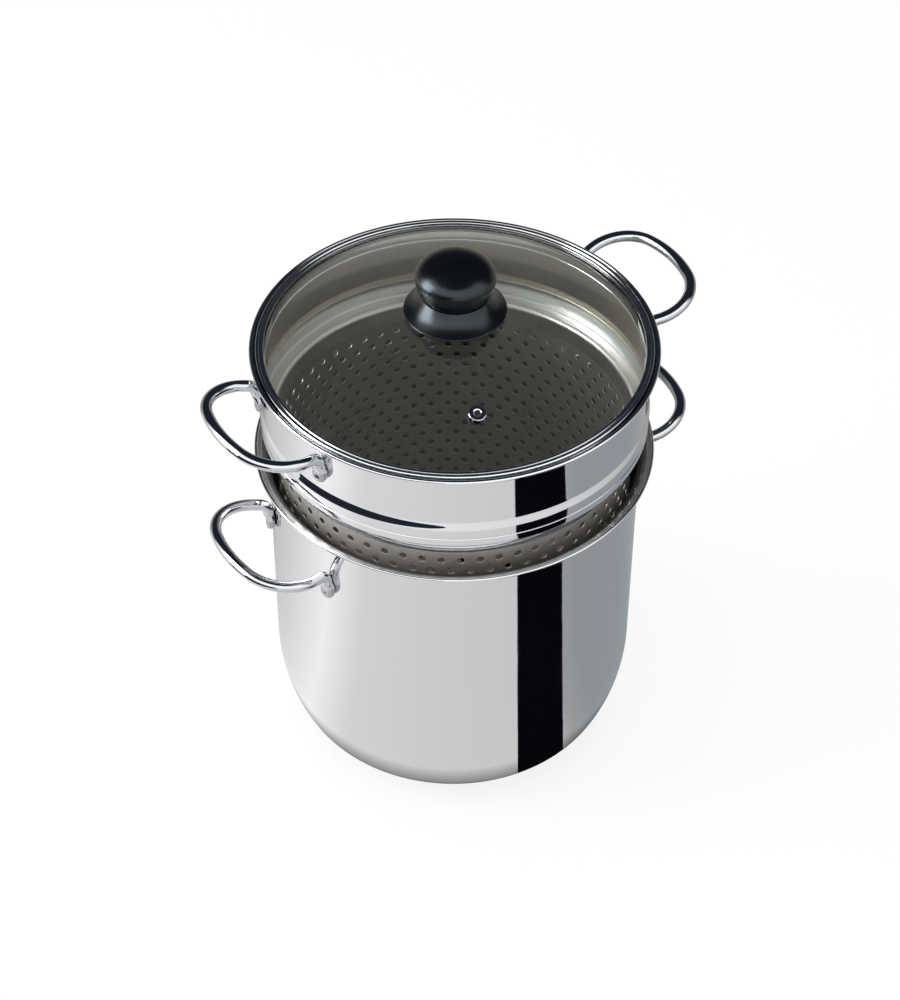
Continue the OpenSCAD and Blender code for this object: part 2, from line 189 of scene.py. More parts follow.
class Nodes:
    """The node tree of one material or of the world."""

    def __init__(self, tree):
        self.tree = tree
        tree.nodes.clear()

    def add(self, kind, settings=None, inputs=None):
        """Adds a node, sets its settings, feeds its inputs, and returns its outputs."""
        node = self.tree.nodes.new(kind)
        for name, value in (settings or {}).items():
            if name == "stops":
                self.set_stops(node.color_ramp, value)
            else:
                setattr(node, name, value)
        for name, value in (inputs or {}).items():
            socket = node.inputs[name]
            if isinstance(value, Value):
                self.tree.links.new(value.socket, socket)
            else:
                socket.default_value = value
        return [Value(self, s) for s in node.outputs if s.enabled]

    @staticmethod
    def set_stops(ramp, stops):
        while len(ramp.elements) < len(stops):
            ramp.elements.new(1)
        for element, (place, shade) in zip(ramp.elements, stops):
            element.position = place
            element.color = (*shade, 1) if isinstance(shade, tuple) else (shade, shade, shade, 1)

    def math(self, operation, *values):
        return self.add("ShaderNodeMath", {"operation": operation}, dict(enumerate(values)))[0]

    def place(self):
        """Object coordinates, in metres, and their x, y and z."""
        coordinates = self.add("ShaderNodeTexCoord")
        by_object = next(c for c in coordinates if c.socket.name == "Object")
        return by_object, self.add("ShaderNodeSeparateXYZ", None, {0: by_object})

    def vector(self, x, y, z):
        return self.add("ShaderNodeCombineXYZ", None, {0: x, 1: y, 2: z})[0]

    def noise(self, vector, scale, detail, roughness=0.5):
        return self.add("ShaderNodeTexNoise", None, {
            "Vector": vector, "Scale": scale, "Detail": detail, "Roughness": roughness,
        })[0]

    def spread(self, value, low, high, to_low, to_high):
        """Maps a value's span onto another, held at its ends."""
        return self.add("ShaderNodeMapRange", {"clamp": True}, {
            "Value": value, "From Min": low, "From Max": high, "To Min": to_low, "To Max": to_high,
        })[0]

    def blend(self, factor, first, second):
        """A colour between two, by a factor; each is a plain colour or a node's output."""
        first, second = [c if isinstance(c, Value) else (*c, 1) for c in (first, second)]
        return self.add("ShaderNodeMix", {"data_type": "RGBA"}, {0: factor, 6: first, 7: second})[0]

    def bump(self, height, depth, strength):
        return self.add("ShaderNodeBump", None, {
            "Strength": strength, "Distance": depth, "Height": height,
        })[0]

    def rays(self):
        """What kind of ray sees the surface, by name."""
        return {p.socket.name: p for p in self.add("ShaderNodeLightPath")}

    def glow(self, colour, strength=1.0):
        return self.add("ShaderNodeEmission", None, {"Color": colour, "Strength": strength})[0]

    def show(self, shader):
        self.add("ShaderNodeOutputMaterial", None, {"Surface": shader})

    def surface(self, inputs):
        self.show(self.add("ShaderNodeBsdfPrincipled", None, inputs)[0])


def material(name):
    made = bpy.data.materials.new(name)
    made.use_nodes = True
    return made, Nodes(made.node_tree)


def round_the_axis(nodes):
    """Object coordinates, and those that run round the pot's axis, out from it, and up."""
    by_object, (x, y, z) = nodes.place()
    return by_object, nodes.math("ARCTAN2", y, x), nodes.math("SQRT", x * x + y * y), z


def darker(tone, share):
    return tuple(share * c for c in tone)


def polished_steel(name, tone, gloss, haze, lines_up=True):
    """Mirror-bright sheet: hairlines from polishing, faint smears, and a slightly uneven sheet."""
    made, n = material(name)
    by_object, angle, out, z = round_the_axis(n)
    per_radian, per_metre = (260, 9) if lines_up else (3, 900)
    along_lines = n.vector(angle * per_radian, z * per_metre, out * per_metre)
    hairlines = n.noise(along_lines, scale=1, detail=3, roughness=0.6)
    smears = n.noise(by_object, scale=14, detail=3, roughness=0.55)
    dents = n.noise(by_object, scale=22, detail=1)
    worn = n.spread(smears, 0.45, 0.72, 0.0, 1.0)
    n.surface({
        "Base Color": n.blend(hairlines, darker(tone, 0.94), tone),
        "Metallic": 1.0,
        "Roughness": gloss + haze * hairlines + haze * 0.8 * worn,
        "Normal": n.bump(dents + 0.05 * hairlines, depth=0.00012, strength=0.35),
    })
    return made


def satin_steel(name, tone, bare=1.0):
    """Dull rolled sheet with short scratches round it; bare is the share that still mirrors."""
    made, n = material(name)
    by_object, angle, out, z = round_the_axis(n)
    per_radian, per_metre = 40, 1500
    along_scratches = n.vector(angle * per_radian, z * per_metre, out * per_metre)
    scratches = n.noise(along_scratches, scale=1, detail=4, roughness=0.7)
    clouds = n.noise(by_object, scale=30, detail=4, roughness=0.6)
    n.surface({
        "Base Color": n.blend(0.6 * clouds + 0.4 * scratches, darker(tone, 0.72), tone),
        "Metallic": bare,
        "Roughness": n.spread(0.5 * clouds + 0.5 * scratches, 0.3, 0.7, 0.24, 0.40),
        "Normal": n.bump(scratches, depth=0.00004, strength=0.5),
    })
    return made


def turned_metal(name, tone, gloss):
    """Metal with fine rings from turning or spinning."""
    made, n = material(name)
    by_object, angle, out, z = round_the_axis(n)
    per_radian, per_metre = 2, 2600
    along_rings = n.vector(out * per_metre, z * per_metre, angle * per_radian)
    rings = n.noise(along_rings, scale=1, detail=3, roughness=0.6)
    stains = n.noise(by_object, scale=45, detail=4, roughness=0.6)
    n.surface({
        "Base Color": n.blend(0.5 * rings + 0.5 * stains, darker(tone, 0.8), tone),
        "Metallic": 1.0,
        "Roughness": gloss + 0.18 * rings,
        "Normal": n.bump(rings, depth=0.00004, strength=0.6),
    })
    return made


def knob_resin():
    """Moulded black resin, satin, with a fine grain and faint patches of wear."""
    made, n = material("knob_resin")
    by_object, _ = n.place()
    grain = n.noise(by_object, scale=2400, detail=2, roughness=0.6)
    rubbed = n.noise(by_object, scale=60, detail=3, roughness=0.55)
    n.surface({
        "Base Color": n.blend(rubbed, (0.0012, 0.0014, 0.0020), (0.0030, 0.0036, 0.0050)),
        "Roughness": n.spread(0.6 * rubbed + 0.4 * grain, 0.3, 0.7, 0.20, 0.30),
        "Specular IOR Level": 0.62,
        "Specular Tint": (0.72, 0.88, 1.0, 1),
        "Normal": n.bump(grain, depth=0.00003, strength=0.5),
    })
    return made


def soft_rubber():
    """Matt rubber with a little dust."""
    made, n = material("soft_rubber")
    by_object, _ = n.place()
    dust = n.noise(by_object, scale=300, detail=4, roughness=0.6)
    n.surface({
        "Base Color": n.blend(dust, (0.018, 0.018, 0.019), (0.035, 0.035, 0.036)),
        "Roughness": n.spread(dust, 0.3, 0.7, 0.6, 0.8),
        "Normal": n.bump(dust, depth=0.00005, strength=0.5),
    })
    return made


def clear_glass():
    """Toughened glass: clear, faintly grey, and a little wavy."""
    made, n = material("lid_glass_clear")
    by_object, _ = n.place()
    waves = n.noise(by_object, scale=9, detail=1)
    n.surface({
        "Base Color": (0.90, 0.925, 0.91, 1),
        "Roughness": 0.0,
        "IOR": 1.5,
        "Transmission Weight": 1.0,
        "Normal": n.bump(waves, depth=0.0002, strength=0.25),
    })
    return made


def arc(cx, cy, r, start, end, steps=10):
    """Points along an arc, angles in degrees."""
    angles = [radians(start + (end - start) * i / steps) for i in range(steps + 1)]
    return [(cx + r * cos(a), cy + r * sin(a)) for a in angles]


def circle(cx, cy, r, sides):
    """Points round a circle, the first one at its right."""
    return arc(cx, cy, r, 0, 360 * (1 - 1 / sides), sides - 1)


def neighbours(loop):
    """Each item of a closed loop with the next."""
    return zip(loop, loop[1:] + loop[:1])


def put_in_scene(name, data):
    """Makes an object of a mesh, a lamp or a camera."""
    made = bpy.data.objects.new(name, data)
    bpy.context.scene.collection.objects.link(made)
    return made


def finish_mesh(name, points, faces, finish, crease=35):
    """Makes a mesh object from points in millimetres, closes its seams and shades it smooth."""
    seam = 2e-6
    shortest_edge = 1e-7
    mesh = bpy.data.meshes.new(name)
    mesh.from_pydata([tuple(c * MM for c in p) for p in points], [], faces)
    work = bmesh.new()
    work.from_mesh(mesh)
    bmesh.ops.remove_doubles(work, verts=work.verts, dist=seam)
    bmesh.ops.dissolve_degenerate(work, edges=work.edges, dist=shortest_edge)
    bmesh.ops.recalc_face_normals(work, faces=work.faces)
    work.to_mesh(mesh)
    work.free()
    mesh.shade_smooth()
    mesh.set_sharp_from_angle(angle=radians(crease))
    mesh.materials.append(finish)
    return put_in_scene(name, mesh)


def turned(outline, around, closed=True):
    """Points and faces of an outline of (radius, height) points turned about the z axis."""
    on_axis = 1e-6
    angles = [2 * pi * k / around for k in range(around)]
    points = [(r * cos(a), r * sin(a), z) for r, z in outline for a in angles]
    count = len(outline)
    faces = []
    for i in range(count if closed else count - 1):
        j = (i + 1) % count
        if outline[i][0] < on_axis and outline[j][0] < on_axis:
            continue
        for k in range(around):
            m = (k + 1) % around
            faces.append((i * around + k, i * around + m, j * around + m, j * around + k))
    return points, faces


def lathe(name, outline, finish, around=288, crease=35):
    """A turned piece, from its closed outline."""
    return finish_mesh(name, *turned(outline, around), finish, crease)


def two_skins(plan, edges, rims, in_hole, first_z, second_z):
    """Points and faces of a flat plan that is given two skins, joined along its rims."""
    made = delaunay_2d_cdt(plan, edges, [], 0, 1e-6)
    verts, triangles = made[0], made[2]
    points = [(v.x, v.y, z(v.length)) for z in (first_z, second_z) for v in verts]
    second = len(verts)
    faces = []
    for face in triangles:
        middle = sum((verts[i] for i in face), Vector((0, 0))) / len(face)
        if not in_hole(middle):
            faces += [tuple(face), tuple(second + i for i in face)]
    for rim in rims:
        faces += [(a, b, second + b, second + a) for a, b in neighbours(rim)]
    return points, faces


def line_inside(piece, finish, top):
    """Gives a second material to the faces that look at the axis or up, below a height: the satin band at
    the pot's rim, and darker and lighter copies of the steel as painted shade and painted highlight.
    """
    facing_in, facing_up = -0.1, 0.9
    mesh = piece.data
    mesh.materials.append(finish)
    for face in mesh.polygons:
        middle, normal = face.center, face.normal
        inward = normal.xy.dot(middle.xy) < facing_in * middle.xy.length
        if middle.z < top * MM and (inward or normal.z > facing_up):
            face.material_index = len(mesh.materials) - 1


def stands_for(piece, body, slot, *nodes):
    """The piece rides on a body and replaces its CAD nodes; its slot is not used."""
    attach(piece, body)
    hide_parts(*nodes)
    return piece


def flare(wall_r, curve_r, lean, edge_r, edge_z, sheet, t, steps):
    """The curve at a wall's top that leads out to its rolled edge, on the face inset by t."""
    curve_x = wall_r - sheet / 2 + curve_r
    a = radians(lean)
    lip = (edge_r - curve_x + curve_r * cos(a)) / sin(a)
    curve_z = edge_z - curve_r * sin(a) - lip * cos(a)
    return arc(curve_x, curve_z, curve_r - sheet / 2 + t, 180, 180 - lean, steps)


def rolled_edge(cx, cy, r, lean, sheet):
    """The bead at the end of a flared sheet, from its under side round to its upper side."""
    join = degrees(asin(sheet / 2 / r))
    back = 270 - lean
    return arc(cx, cy, r, back + join, back - join + 360, 22)


# Finishes
pot_steel = polished_steel("pot_steel", (0.80, 0.805, 0.82), 0.02, 0.03)
collar_steel = polished_steel("collar_steel", (0.83, 0.835, 0.85), 0.02, 0.03, lines_up=False)
# Painted shade: the handles take a darker copy of the pot's steel, so the rods mirror the room greyer
handle_steel = polished_steel("handle_steel", (0.64, 0.65, 0.68), 0.03, 0.04)
pressed_steel = polished_steel("pressed_steel", (0.46, 0.465, 0.48), 0.12, 0.10)
band_steel = polished_steel("band_steel", (0.80, 0.81, 0.83), 0.03, 0.04, lines_up=False)
basket_steel = satin_steel("basket_steel", (0.62, 0.59, 0.55), 0.55)
# Painted shade: a darker copy of the basket's steel, for its inner wall and the top of its floor
basket_inside_painted_shade = satin_steel("basket_inside_painted_shade", (0.36, 0.35, 0.33), 0.7)
# Painted shade with a warm painted reflection: a darker, taupe copy of the steel, for the collar's inside
collar_inside_painted_shade = satin_steel("collar_inside_painted_shade", (0.72, 0.64, 0.52))
# Painted highlight: a lighter satin copy of the steel, for the shoulder's inner and upper faces
ledge_painted_highlight = satin_steel("ledge_painted_highlight", (0.94, 0.95, 0.94))
rim_satin = satin_steel("rim_satin", (0.62, 0.64, 0.66))
# Painted shade: a much darker copy of the pot's steel, for its inside
pot_inside_painted_shade = satin_steel("pot_inside_painted_shade", (0.22, 0.22, 0.23))
base_steel = turned_metal("base_steel", (0.72, 0.73, 0.75), 0.12)
core_aluminium = turned_metal("core_aluminium", (0.75, 0.76, 0.77), 0.25)
screw_steel = turned_metal("screw_steel", (0.70, 0.71, 0.72), 0.15)
insert_brass = turned_metal("insert_brass", (0.78, 0.62, 0.30), 0.2)
resin = knob_resin()
rubber = soft_rubber()
glass = clear_glass()


# The pot
def pot_face(t):
    """One face of the pot's sheet, from the floor's middle up, inset from the outer face by t."""
    return [
        (0, base_t + t),
        *arc(base_r, base_t + foot_corner_r, foot_corner_r - t, -90, -foot_curve_angle, 24),
        *arc(body_r - foot_curve_r, foot_curve_z, foot_curve_r - t, -foot_curve_angle, 0, 24),
        *flare(body_r, flare_r, flare_angle, rim_r - bead_r, pot_h - bead_r, pot_sheet, t, 20),
    ]


def build_drawn_pot():
    """The drawn sheet, with a satin band where the flare meets the rolled edge, and inside a dull, much
    darker copy of its steel as painted shade.
    """
    satin_top = pot_h - 1
    inside_top = pot_h - 1.7
    edge = rolled_edge(rim_r - bead_r, pot_h - bead_r, bead_r, flare_angle, pot_sheet)
    pot = lathe("drawn_pot", pot_face(0) + edge + pot_face(pot_sheet)[::-1], pot_steel)
    line_inside(pot, rim_satin, satin_top)
    line_inside(pot, pot_inside_painted_shade, inside_top)
    stands_for(pot, "pot", "pot_steel", "pot_shell", "pot_foot_top", "pot_foot_mid",
               "pot_foot_low", "pot_floor", "pot_rim")


def build_base_plate():
    """The cap over the base's core."""
    edge_r = 1.6
    cap_t = 0.6
    plate = lathe("base_plate", [
        (0, 0),
        *arc(base_r - edge_r, edge_r, edge_r, -90, 0),
        (base_r, base_t), (base_r - cap_t, base_t), (base_r - cap_t, cap_t), (0, cap_t),
    ], base_steel)
    stands_for(plate, "pot", "pot_steel", "base_cap")


build_drawn_pot()
build_base_plate()

# The loop handles
down = Vector((0, 0, -1))
round_rod = (rod_r, rod_r, round_section)


def ring_point(ring, a):
    """A point of a rod's cross-section, at angle a."""
    centre, out, up, half_w, half_t, squareness = ring
    power = 2 / squareness
    c, s = cos(a), sin(a)
    u = half_w * abs(c) ** power * (1 if c > 0 else -1)
    v = half_t * abs(s) ** power * (1 if s > 0 else -1)
    return centre + out * u + up * v


def loop_line(half_gap, leg_angle, reach):
    """Half of the loop in its own plane, each (x, y, angle out): half the bar, then the corner."""
    bar_steps, corner_steps = 18, 30
    along = Vector((cos(leg_angle), sin(leg_angle)))
    inward = Vector((sin(leg_angle), -cos(leg_angle)))
    bar_x = reach - bar_r
    offset = Vector((-bar_x, half_gap)) + loop_corner_r * inward
    half_b = offset.dot(along)
    leg_len = sqrt(half_b ** 2 - offset.length_squared + (bar_r - loop_corner_r) ** 2) - half_b
    corner = Vector((0, half_gap)) + leg_len * along + loop_corner_r * inward
    bar_angle = atan2(corner.y, corner.x - bar_x)
    line = []
    for i in range(bar_steps + 1):
        a = bar_angle * i / bar_steps
        line.append((bar_x + bar_r * cos(a), bar_r * sin(a), a))
    for i in range(1, corner_steps + 1):
        a = bar_angle + (pi / 2 + leg_angle - bar_angle) * i / corner_steps
        line.append((corner.x + loop_corner_r * cos(a), corner.y + loop_corner_r * sin(a), a))
    return line


def foot_rings(knee, bend_len, side, away):
    """Rings of the foot below its bend: pressed flat by degrees, then straight, then rounded off."""
    press_steps, tip_steps = 16, 18
    ring_pitch = 0.35
    tip_angle = 88
    tip_fullness = 0.35
    pad_top = bend_len + pad_taper
    tip_top = foot_len - pad_w / 2
    straight = tip_top - pad_top
    inset = away * (rod_r - pad_t / 2)
    rings = []
    for i in range(1, press_steps + 1):
        k = i / press_steps
        ease = (1 - cos(pi * k)) / 2
        half_w = rod_r + (pad_w / 2 - rod_r) * ease
        half_t = rod_r + (pad_t / 2 - rod_r) * ease
        centre = knee + down * (bend_len + pad_taper * k) - away * (rod_r - half_t)
        squareness = round_section + (pad_squareness - round_section) * k
        rings.append((centre, side, -away, half_w, half_t, squareness))
    steps = max(1, round(straight / ring_pitch))
    for i in range(1, steps):
        centre = knee + down * (pad_top + straight * i / steps) - inset
        rings.append((centre, side, -away, pad_w / 2, pad_t / 2, pad_squareness))
    for i in range(tip_steps + 1):
        a = radians(tip_angle) * i / tip_steps
        centre = knee + down * (tip_top + pad_w / 2 * sin(a)) - inset
        half_t = pad_t / 2 * cos(a) ** tip_fullness
        rings.append((centre, side, -away, pad_w / 2 * cos(a), half_t, pad_squareness))
    return rings


def half_loop(knee_r, reach):
    """Rings of half a handle, the place of its spot weld, and the direction off the wall.

    A ring is (centre, out, up, half-width, half-thickness, squareness)."""
    bend_steps = 20
    weld_above_tip = 0.6
    rise = radians(rise_angle)
    foot = radians(foot_angle)
    knee = Vector((knee_r * cos(foot), knee_r * sin(foot), 0))
    side = Vector((-sin(foot), cos(foot), 0))
    away = Vector((cos(foot), sin(foot), 0))
    leg_angle = atan(tan(foot) * cos(rise))
    leg_rise = asin(cos(leg_angle) * sin(rise))
    bend_len = bend_r * tan((pi / 2 - leg_rise) / 2)
    base = Vector((knee.x, 0, 0))
    slope_up = Vector((-sin(rise), 0, cos(rise)))

    def sloped(u, v):
        return Vector((u * cos(rise), v, u * sin(rise)))

    rings = [
        (base + sloped(x, y), sloped(cos(a), sin(a)), slope_up, *round_rod)
        for x, y, a in loop_line(knee.y, leg_angle, reach)
    ]
    for i in range(bend_steps + 1):
        a = pi / 2 + leg_rise + (pi / 2 - leg_rise) * i / bend_steps
        centre = knee + bend_len * down + away * bend_r * (1 + cos(a)) - down * bend_r * sin(a)
        rings.append((centre, side, away * cos(a) - down * sin(a), *round_rod))
    rings += foot_rings(knee, bend_len, side, away)
    weld = knee + down * (foot_len - pad_w / 2 - weld_above_tip) + away * (pad_t - rod_r)
    return rings, weld, away


def loop_handle(name, wall_r, z, reach, mirror, sides=36):
    """A swept rod with two pressed feet, each with the dimple of its spot weld."""
    half, weld, away = half_loop(wall_r + rod_r, reach)
    rows = []
    for ring in half:
        row = []
        for j in range(sides):
            p = ring_point(ring, 2 * pi * j / sides)
            from_weld = (p - weld).length / weld_r
            if from_weld < 1:
                p = p - away * weld_depth * (1 - from_weld ** 2) ** 1.5
            row.append(p)
        rows.append(row)
    other = [[Vector((p.x, -p.y, p.z)) for p in row] for row in rows]
    rows = rows[:0:-1] + other
    turn = -1 if mirror else 1
    points = [(turn * p.x, turn * p.y, p.z + z) for row in rows for p in row]
    last = (len(rows) - 1) * sides
    faces = [
        (start + j, start + sides + j, start + sides + m, start + m)
        for start in range(0, last, sides) for j, m in neighbours(list(range(sides)))
    ]
    faces += [tuple(range(sides)), tuple(range(last, last + sides))]
    handle = finish_mesh(name, points, faces, handle_steel, crease=50)
    handle.data.materials.append(pressed_steel)
    pressed_top = z - bend_r - pad_taper * 0.6
    for face in handle.data.polygons:
        if face.center.z < pressed_top * MM:
            face.material_index = 1
    return handle


for side_name, mirror in (("left", True), ("right", False)):
    handle = loop_handle(f"pot_loop_{side_name}", body_r, pot_handle_z, pot_reach, mirror)
    stands_for(handle, "pot", "handle_steel", f"pot_handle_{side_name}")
    handle = loop_handle(f"strainer_loop_{side_name}", collar_r, strainer_handle_z, strainer_reach, mirror)
    stands_for(handle, "strainer", "handle_steel", f"strainer_handle_{side_name}")


# The strainer
def collar_face(t):
    """One face of the collar's sheet, from the seam up, with the soft step of its crease."""
    crease_steps = 12
    crease = []
    for i in range(crease_steps + 1):
        k = i / crease_steps
        step_in = (band_r - collar_r) * k * k * (3 - 2 * k)
        crease.append((band_r - t - step_in, crease_low + (crease_high - crease_low) * k))
    return [
        (band_r - t, shoulder_z + seam_h + seam_gap / 2),
        *crease,
        *flare(collar_r, small_flare_r, small_flare_angle, strainer_rim_r - small_bead_r,
               strainer_top - small_bead_r, strainer_sheet, t, 16),
    ]


def build_collar():
    """The polished upper ring with its rolled edge."""
    inside_top = strainer_top - 5
    edge = rolled_edge(strainer_rim_r - small_bead_r, strainer_top - small_bead_r, small_bead_r,
                       small_flare_angle, strainer_sheet)
    outline = collar_face(0) + edge + collar_face(strainer_sheet)[::-1]
    collar = lathe("collar_ring", outline, collar_steel, crease=55)
    # The inner faces take the darker taupe copy: painted shade and a warm painted reflection
    line_inside(collar, collar_inside_painted_shade, inside_top)
    stands_for(collar, "strainer", "collar_steel", "strainer_collar")


def build_shoulder():
    """The shoulder, with the tongue that the collar is welded over."""
    s = strainer_sheet
    chamfer = 0.2
    fillet_x = basket_r + shoulder_r
    fillet_z = shoulder_z - shoulder_r
    round_x = band_r - shoulder_r
    round_z = shoulder_z + shoulder_r
    seam_z = shoulder_z + seam_h - seam_gap / 2
    tongue_top = crease_low
    tongue_bottom = shoulder_z + seam_h - 1
    shoulder = lathe("shoulder_ring", [
        (basket_r, neck_bottom),
        *arc(fillet_x, fillet_z, shoulder_r, 180, 90),
        *arc(round_x, round_z, shoulder_r, -90, 0),
        (band_r, seam_z - chamfer), (band_r - chamfer, seam_z), (band_r - s, seam_z),
        (band_r - s, tongue_top), (band_r - 2 * s, tongue_top),
        (band_r - 2 * s, tongue_bottom), (band_r - s, tongue_bottom - 1),
        *arc(round_x, round_z, shoulder_r - s, 0, -90),
        *arc(fillet_x, fillet_z, shoulder_r + s, 90, 180),
        (basket_r - s, neck_bottom),
    ], collar_steel, around=360)
    # The inner and upper faces take the lighter copy: a painted highlight on the ledge
    line_inside(shoulder, ledge_painted_highlight, strainer_top)
    stands_for(shoulder, "strainer", "collar_steel", "strainer_shoulder")


def punched_cell(middle, z, columns=6):
    """One hole of the strainer's wall with the sheet round it, on both faces."""
    half_w = 180 / holes_round
    half_h = row_pitch / 2
    corners = [(-half_w, -half_h), (half_w, -half_h), (half_w, half_h), (-half_w, half_h)]
    edge = [
        (u + (next_u - u) * i / columns, v + (next_v - v) * i / columns)
        for (u, v), (next_u, next_v) in neighbours(corners) for i in range(columns)
    ]
    degree = pi * basket_r / 180
    count = len(edge)

    def ring(r):
        """A circle with one point for each of the edge's, across in degrees and up in millimetres."""
        angles = [atan2(v / half_h, u / half_w) for u, v in edge]
        return [(r * cos(a) / degree, r * sin(a)) for a in angles]

    sheet = strainer_sheet
    even_r = hole_r * 1.55
    lip_w, lip_depth, lip_fall = 0.28, 0.22, 0.07
    inner_lip_w, inner_lip_depth = 0.08, 0.12
    # Loops and their depths, from the outer face in: the cell's edge, the lip, the bore, and out again
    layers = [
        (edge, 0), (ring(even_r), 0), (ring(hole_r + lip_w), 0), (ring(hole_r + lip_fall), lip_fall),
        (ring(hole_r), lip_depth), (ring(hole_r), sheet - inner_lip_depth),
        (ring(hole_r + inner_lip_w), sheet), (ring(even_r), sheet), (edge, sheet),
    ]
    points = []
    for layer, depth in layers:
        for u, v in layer:
            a = radians(middle + u)
            points.append(((basket_r - depth) * cos(a), (basket_r - depth) * sin(a), z + v))
    faces = [
        (i * count + j, i * count + m, (i + 1) * count + m, (i + 1) * count + j)
        for i in range(len(layers) - 1) for j, m in neighbours(list(range(count)))
    ]
    return points, faces


def build_punched_wall():
    """The rolled wall: staggered rows of holes between two plain bands."""
    around = 360
    points, faces = [], []

    def take(more_points, more_faces):
        start = len(points)
        points.extend(more_points)
        faces.extend(tuple(start + i for i in face) for face in more_faces)

    top = first_row_z + row_pitch / 2
    bottom = first_row_z - (hole_rows - 0.5) * row_pitch
    inner = basket_r - strainer_sheet
    plain_top = [(basket_r, top), (basket_r, neck_bottom), (inner, neck_bottom), (inner, top)]
    plain_bottom = [(inner, bottom), (inner, wall_bottom), (basket_r, wall_bottom), (basket_r, bottom)]
    take(*turned(plain_top, around, closed=False))
    take(*turned(plain_bottom, around, closed=False))
    step = 360 / holes_round
    for row in range(hole_rows):
        for i in range(holes_round):
            take(*punched_cell(step * (i + row % 2 / 2), first_row_z - row * row_pitch))
    wall = finish_mesh("punched_wall", points, faces, basket_steel, crease=40)
    # The inner faces take the darker copy: painted shade inside the basket
    line_inside(wall, basket_inside_painted_shade, strainer_top)
    stands_for(wall, "strainer", "basket_steel", "strainer_wall")


def floor_holes(field_r):
    """Centres of the floor's holes, in a triangular pattern."""
    n = int(field_r / floor_pitch) + 2
    places = []
    for i in range(-n, n + 1):
        for j in range(-n, n + 1):
            x, y = (i + j / 2) * floor_pitch, j * floor_pitch * sqrt(3) / 2
            if x * x + y * y < field_r ** 2:
                places.append((x, y))
    return places


def build_punched_floor():
    """The floor's pressing: a punched disc, its corner, and the lap inside the wall."""
    around = 240
    hole_sides = 24
    plain_margin = 4
    lap = 5
    lap_gap = 0.06
    s = strainer_sheet
    outer = basket_r - s - lap_gap
    corner_x = outer - basket_corner_r
    corner_z = basket_z + basket_corner_r
    places = floor_holes(corner_x - plain_margin)
    plan = [Vector(p) for p in circle(0, 0, corner_x, around)]
    loops = [list(range(around))]
    for x, y in places:
        loops.append(list(range(len(plan), len(plan) + hole_sides)))
        plan += [Vector(p) for p in circle(x, y, hole_r, hole_sides)]
    edges = [pair for loop in loops for pair in neighbours(loop)]
    centres = np.array(places)

    def in_hole(middle):
        return np.hypot(*(centres - np.array(middle)).T).min() < hole_r * 0.99

    points, faces = two_skins(plan, edges, loops[1:], in_hole, lambda r: basket_z, lambda r: basket_z + s)
    lap_top = wall_bottom + lap
    rim_points, rim_faces = turned([
        *arc(corner_x, corner_z, basket_corner_r, -90, 0, 18),
        (outer, lap_top), (outer - s, lap_top),
        *arc(corner_x, corner_z, basket_corner_r - s, 0, -90, 18),
    ], around, closed=False)
    faces += [tuple(len(points) + i for i in face) for face in rim_faces]
    floor = finish_mesh("punched_floor", points + rim_points, faces, basket_steel, crease=40)
    # The floor's upper face takes the darker copy: painted shade inside the basket
    line_inside(floor, basket_inside_painted_shade, strainer_top)
    stands_for(floor, "strainer", "basket_steel", "strainer_floor")


build_collar()
build_shoulder()
build_punched_wall()
build_punched_floor()


# The lid
def build_glass():
    """The dome, on concentric rings, with the knob's hole in its middle and the vent's beside it."""
    around = 192
    ring_count = 30
    vent_sides = 32
    clear_r = vent_tube_r + 1.2
    vent = Vector((vent_offset * cos(radians(vent_angle)), vent_offset * sin(radians(vent_angle))))
    plan, edges = [], []
    index = {}
    for i in range(ring_count + 1):
        r = stud_hole_r + (glass_r - stud_hole_r) * i / ring_count
        for k in range(around):
            a = 2 * pi * k / around
            p = Vector((r * cos(a), r * sin(a)))
            if (p - vent).length > clear_r:
                index[i, k] = len(plan)
                plan.append(p)
    for (i, k), start in index.items():
        for end in (index.get((i, (k + 1) % around)), index.get((i + 1, k))):
            if end is not None and (0.5 * (plan[start] + plan[end]) - vent).length > clear_r:
                edges.append((start, end))
    vent_rim = list(range(len(plan), len(plan) + vent_sides))
    plan += [Vector(p) for p in circle(vent.x, vent.y, vent_tube_r, vent_sides)]
    edges += neighbours(vent_rim)

    def in_hole(middle):
        return middle.length < stud_hole_r * 0.999 or (middle - vent).length < vent_tube_r * 0.99

    rims = [[index[i, k] for k in range(around)] for i in (0, ring_count)] + [vent_rim]
    points, faces = two_skins(plan, edges, rims, in_hole, glass_top, glass_under)
    dome = finish_mesh("glass_dome", points, faces, glass, crease=30)
    dome.visible_shadow = False
    stands_for(dome, "lid", "lid_glass", "lid_glass")


